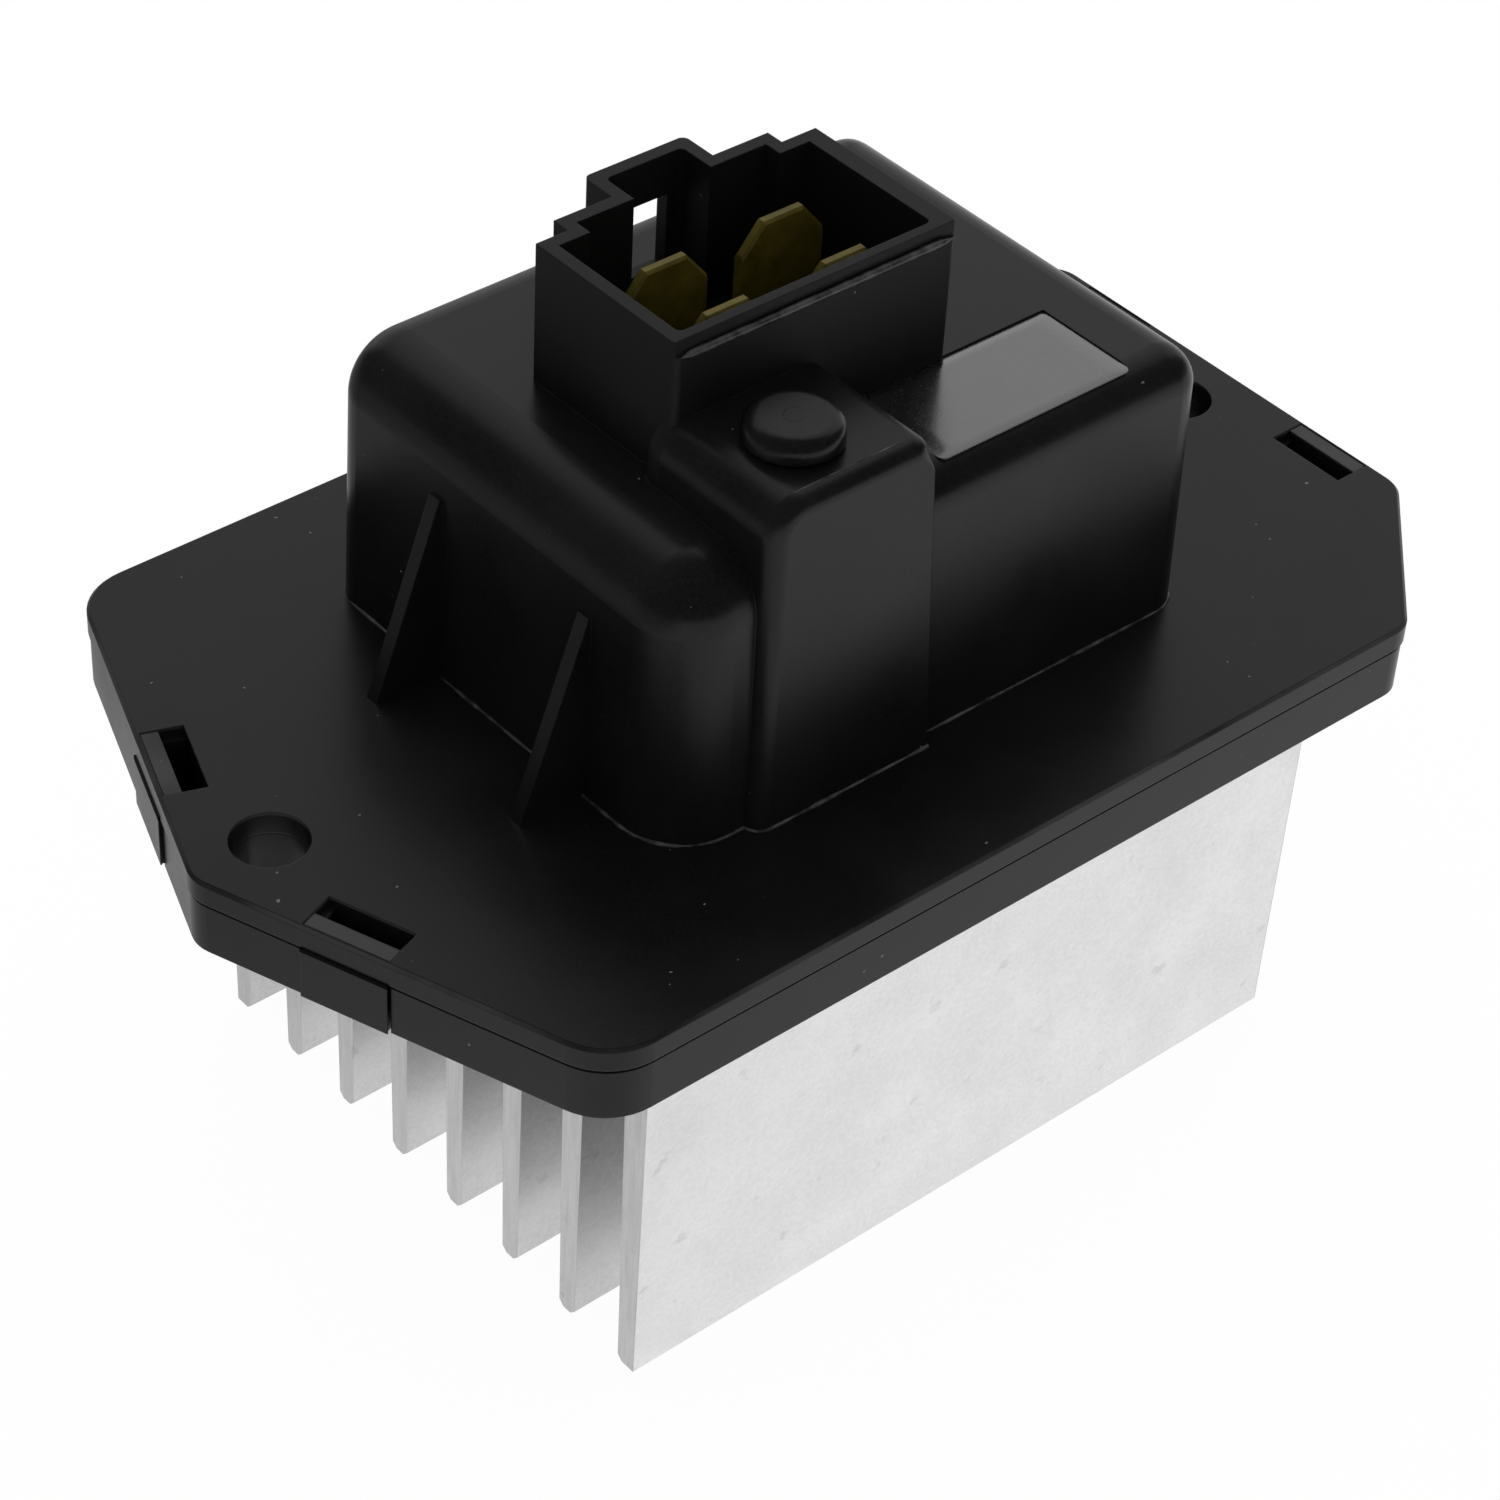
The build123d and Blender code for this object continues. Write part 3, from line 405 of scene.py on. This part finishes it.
def ray_kinds(nodes, links, *kinds):
    """1 for rays of any of the kinds, such as Camera or Diffuse, and 0 for the others."""
    path = nodes.new("ShaderNodeLightPath")
    total = path.outputs["Is " + kinds[0] + " Ray"]
    for kind in kinds[1:]:
        either = nodes.new("ShaderNodeMath")
        either.operation = "MAXIMUM"
        links.new(total, either.inputs[0])
        links.new(path.outputs["Is " + kind + " Ray"], either.inputs[1])
        total = either.outputs[0]
    return total


def make_world():
    """White behind the part and as a soft light, and a dim grey room in its reflections."""
    world = bpy.data.worlds.new("studio")
    bpy.context.scene.world = world
    world.use_nodes = True
    world.cycles.sampling_method = "NONE"
    nodes, links = world.node_tree.nodes, world.node_tree.links
    backdrop = nodes["Background"]
    colour = nodes.new("ShaderNodeMix")
    colour.data_type = "RGBA"
    links.new(ray_kinds(nodes, links, "Camera", "Transmission", "Diffuse"), colour.inputs["Factor"])
    colour.inputs[6].default_value = grey(ROOM_LEVEL)
    colour.inputs[7].default_value = grey(1.0)
    links.new(colour.outputs[2], backdrop.inputs["Color"])
    backdrop.inputs["Strength"].default_value = 1.0


def make_floor():
    """White floor under the fins with a faint shadow, dimmer in reflections towards the left and back."""
    half = FLOOR_HALF_WIDTH_M
    z = cad_box[0].z - FLOOR_GAP_MM * MM
    corners = [(-half, -half, z), (half, -half, z), (half, half, z), (-half, half, z)]
    mesh = bpy.data.meshes.new("floor")
    mesh.from_pydata(corners, [], [(0, 1, 2, 3)])
    floor = bpy.data.objects.new("floor", mesh)
    bpy.context.scene.collection.objects.link(floor)
    made = Finish("white_floor", base_color=grey(0.80), roughness=0.9, specular_ior_level=0.0)
    nodes, links = made.nodes, made.links
    to_left = made.math("MULTIPLY", made.axis("X"), FLOOR_DIMS_X)
    away = made.math("ADD", to_left, made.math("MULTIPLY", made.axis("Y"), FLOOR_DIMS_Y))
    mirrored = made.spread(away, NEAR_FLOOR_M, FAR_FLOOR_M, NEAR_FLOOR_LEVEL, FAR_FLOOR_LEVEL)
    mirror = ray_kinds(nodes, links, "Glossy")
    seen = made.math("MULTIPLY", ray_kinds(nodes, links, "Camera", "Transmission"), FLOOR_SEEN)
    # The glow has strength 1 where the camera sees it and the mirrored level where the part reflects it.
    glow = nodes.new("ShaderNodeEmission")
    dimming = made.math("ADD", made.math("MULTIPLY", mirror, made.math("SUBTRACT", mirrored, 1.0)), 1.0)
    links.new(dimming, glow.inputs["Strength"])
    mix = nodes.new("ShaderNodeMixShader")
    links.new(made.math("MAXIMUM", seen, mirror), mix.inputs["Fac"])
    links.new(made.shader.outputs["BSDF"], mix.inputs[1])
    links.new(glow.outputs["Emission"], mix.inputs[2])
    links.new(mix.outputs["Shader"], nodes["Material Output"].inputs["Surface"])
    mesh.materials.append(made.material)


def soft_light(name, direction, distance, width, height, level):
    """Rectangular light that shines at the part from that direction, as bright as level times white."""
    data = bpy.data.lights.new(name, "AREA")
    data.shape = "RECTANGLE"
    data.size = width
    data.size_y = height
    data.energy = level * pi * width * height
    lamp = bpy.data.objects.new(name, data)
    bpy.context.scene.collection.objects.link(lamp)
    way = Vector(direction).normalized()
    lamp.location = way * distance
    lamp.rotation_mode = "QUATERNION"
    lamp.rotation_quaternion = (-way).to_track_quat("-Z", "Y")


def add_piece(name, rows, finish):
    """Solid from rows of points in millimetres: each row is a closed ring, rings joined, the ends capped.

    The faces are turned outward: their signed volume about the middle has to be positive.
    """
    count, ring = rows.shape[:2]
    first = (np.arange(count - 1)[:, None] * ring + np.arange(ring)[None, :]).ravel()
    after = (np.arange(count - 1)[:, None] * ring + (np.arange(ring) + 1)[None, :] % ring).ravel()
    quads = np.stack([first, after, after + ring, first + ring], axis=1)
    points = rows.reshape(-1, 3)
    corners = points[quads] - points.mean(axis=0)
    volume = np.einsum("ij,ij->", np.cross(corners[:, 0], corners[:, 1]), corners[:, 2])
    volume += np.einsum("ij,ij->", np.cross(corners[:, 0], corners[:, 2]), corners[:, 3])
    caps = [list(range(ring))[::-1], list(range((count - 1) * ring, count * ring))]
    faces = quads.tolist() + caps
    if volume < 0:
        faces = [face[::-1] for face in faces]
    mesh = bpy.data.meshes.new(name)
    mesh.from_pydata((points * MM).tolist(), [], faces)
    mesh.polygons.foreach_set("use_smooth", np.ones(len(faces), dtype=bool))
    mesh.materials.append(finish)
    piece = bpy.data.objects.new(name, mesh)
    bpy.context.scene.collection.objects.link(piece)
    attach(piece, "root")
    return piece


def along(corners, step):
    """Points every step millimetres on the lines between the corners, and how far along they are."""
    corners = np.array(corners, dtype=float)
    lengths = np.r_[0, np.cumsum(np.linalg.norm(np.diff(corners, axis=0), axis=1))]
    places = np.linspace(0, lengths[-1], max(2, int(lengths[-1] / step) + 1))
    return np.stack([np.interp(places, lengths, corners[:, i]) for i in range(3)], axis=1), places


def foot_quarter(centre, radius, start):
    """Points of a quarter circle on the plate: centre + radius (cos a, sin a), a from start on."""
    a = np.radians(start) + np.linspace(0, pi / 2, 7)
    return [(centre[0] + radius * np.cos(t), centre[1] + radius * np.sin(t), PLATE_TOP) for t in a]


def wander(places, chance, spacing, margin):
    """n(t): values from -1 to 1, one drawn every spacing millimetres and joined by straight lines."""
    knots = np.arange(0, places[-1] + margin, spacing)
    return np.interp(places, knots, chance.uniform(-1, 1, len(knots)))


def bead(name, corners, radius, ripple, seed):
    """Bead along a level path: p(t) + r(t) (cos u side(t) + sin u up), thin at its ends.

    r(t) = radius (1 + ripple n(t)), n(t) a coarse and a fine wander.
    """
    ring, step, thin_end = 8, 0.25, 0.8
    path, places = along(corners, step)
    chance = np.random.default_rng(seed)
    coarse = wander(places, chance, spacing=1.5, margin=3)
    fine = wander(places, chance, spacing=0.4, margin=1)
    fade = np.clip(np.minimum(places, places[-1] - places) / thin_end, 0.05, 1.0)
    r = radius * (1 + ripple * (0.65 * coarse + 0.35 * fine)) * fade
    tangent = np.gradient(path, axis=0)
    tangent /= np.linalg.norm(tangent, axis=1, keepdims=True)
    side = np.stack([tangent[:, 1], -tangent[:, 0], np.zeros(len(path))], axis=1)
    u = np.linspace(0, 2 * pi, ring, endpoint=False)
    rows = path[:, None, :] + r[:, None, None] * (np.cos(u)[None, :, None] * side[:, None, :])
    rows[:, :, 2] += r[:, None] * np.sin(u)[None, :]
    # The thin plastic's pale patches paint a highlight along every bead.
    add_piece(name, rows, THIN_PLASTIC)


def foot_flash():
    """Thin ragged line of flash where the box and the tower stand on the plate, all round."""
    big, small = BOX_BIG_CORNER, BOX_SMALL_CORNER
    corners = [(BOX_LEFT, FLASH_BACK, PLATE_TOP)]
    corners += foot_quarter((BOX_LEFT + big, BOX_FRONT + big), big, 180)
    corners += [(TOWER_LEFT, BOX_FRONT, PLATE_TOP)]
    corners += foot_quarter((TOWER_LEFT + TOWER_CORNER, TOWER_FRONT + TOWER_CORNER), TOWER_CORNER, 180)
    corners += [(TOWER_RIGHT, TOWER_FRONT, PLATE_TOP), (TOWER_RIGHT, BOX_FRONT, PLATE_TOP)]
    corners += foot_quarter((BOX_RIGHT - small, BOX_FRONT + small), small, 270)
    corners += [(BOX_RIGHT, FLASH_BACK - small, PLATE_TOP)]
    bead("foot_flash", corners, radius=0.13, ripple=0.55, seed=11)


def shroud_lip():
    """Rounded ledge that runs under the rim of the shroud along its front."""
    y, z = SHROUD_FRONT + 0.03, SHROUD_RIM - 1.05
    ends = [(SHROUD_LEFT + 0.3, y, z), (SHROUD_RIGHT - 0.3, y, z)]
    bead("shroud_lip", ends, radius=0.26, ripple=0.06, seed=5)


def parting_ridge():
    """Faint parting line across the tower's top, just behind its front rounding."""
    y = TOWER_FRONT + (TOWER_TOP - PLATE_TOP) * np.tan(TOWER_DRAFT) + TOWER_CORNER - 0.1
    z = TOWER_TOP - 0.01
    left, right = TOWER_LEFT + 2.2, TOWER_RIGHT - 2.4
    bead("parting_ridge", [(left, y, z), (right, y, z)], radius=0.05, ripple=0.5, seed=7)


def gate_mark():
    """Faint ring left by the gate on the rivet's head: a turned profile r, z, uneven round its rim."""
    u = np.linspace(0, 2 * pi, 28, endpoint=False)
    r = np.array((0.76, 0.72, 0.60, 0.48, 0.30, 0.05))[:, None]
    z = np.array((-0.02, 0.006, 0.016, 0.010, 0.008, 0.014))[:, None]
    chance = np.random.default_rng(3)
    rim = 1 + 0.05 * np.sin(2 * u + 0.6) + 0.03 * chance.uniform(-1, 1, len(u))
    x, y, z = np.broadcast_arrays(r * rim * np.cos(u), r * rim * np.sin(u), z)
    rows = np.stack([x, y, z], axis=2) + RIVET_TOP
    add_piece("gate_mark", rows, FINISHES["package_black"])


def tower_edge():
    """The tower's crisp front right edge: at each height a corner of radius r(z) between two leaning walls.

    Near the top the walls draw in by d(z) = R - sqrt(R^2 - h^2), h the height above the rounding's start,
    and r(z) grows until the corner meets the rounded one below the top.
    """
    R = TOWER_CORNER
    crisp, crisp_top, top = 0.07, 26.4, TOWER_TOP - 0.75
    z = np.r_[np.linspace(PLATE_TOP, crisp_top, 22), np.linspace(crisp_top + 0.1, top, 14)]
    h = np.clip(z - (TOWER_TOP - R), 0, R)
    d = R - np.sqrt(R * R - h * h)
    grow = np.clip((z - crisp_top) / (top - crisp_top), 0, 1)
    r = crisp + (R - d - crisp) * grow * grow * (3 - 2 * grow)
    right = TOWER_RIGHT - (z - PLATE_TOP) * np.tan(TOWER_RIGHT_DRAFT)
    front = TOWER_FRONT + (z - PLATE_TOP) * np.tan(TOWER_DRAFT)
    a = np.linspace(-pi / 2, 0, 8)
    arc_x = (right - d - r)[:, None] + r[:, None] * np.cos(a)
    arc_y = (front + d + r)[:, None] + r[:, None] * np.sin(a)
    # Each ring runs along the front wall, round the corner, along the right wall and back inside the tower.
    x = np.column_stack([right - R - 0.25, right - R, arc_x, right - d, right - d - 0.02, right - R])
    y = np.column_stack([front + d + 0.02, front + d, arc_y, front + R, front + R + 0.25, front + R])
    rows = np.stack([x, y, np.repeat(z[:, None], x.shape[1], axis=1)], axis=2)
    piece = add_piece("tower_edge", rows, FINISHES["black_plastic"])
    piece.data.polygons.foreach_set("use_smooth", np.zeros(len(piece.data.polygons), dtype=bool))


def label_film():
    """Bare film in the field on the roof: z = floor + thickness + faint waves in x and y, rounded corners.

    Its rings are the rim drawn in towards the middle by a share, the last one small enough to be capped.
    """
    corner, thickness, wave_height = 0.5, 0.06, 0.008
    a = np.radians(np.arange(0, 360, 90)[:, None] + np.linspace(0, 90, 8)).ravel()
    to_right = np.repeat((True, False, False, True), 8)
    to_back = np.repeat((True, True, False, False), 8)
    centre_x = np.where(to_right, FIELD_HIGH[0] - corner, FIELD_LOW[0] + corner)
    centre_y = np.where(to_back, FIELD_HIGH[1] - corner, FIELD_LOW[1] + corner)
    rim = np.column_stack([centre_x + corner * np.cos(a), centre_y + corner * np.sin(a)])
    middle = (FIELD_LOW + FIELD_HIGH) / 2
    shares = (1.0, 1.0, 0.995, 0.8, 0.6, 0.4, 0.2, 0.01)
    heights = (-0.01, 0.05) + (thickness,) * 6
    rows = []
    for share, z in zip(shares, heights):
        xy = middle + (rim - middle) * share
        wave = wave_height * np.sin(xy[:, 0] * 0.9 + 0.7) * np.cos(xy[:, 1] * 0.8) * (z == thickness)
        rows.append(np.c_[xy, FIELD_FLOOR + z + wave])
    add_piece("label_film", np.array(rows), label_film_face())


dress_nodes()
foot_flash()
shroud_lip()
parting_ridge()
gate_mark()
tower_edge()
label_film()
make_world()
make_floor()
soft_light("back_wall", direction=(0.68, 0.73, 0.62), distance=1.3, width=2.8, height=1.9, level=0.72)
place_camera()
bpy.context.scene.view_settings.view_transform = "Standard"
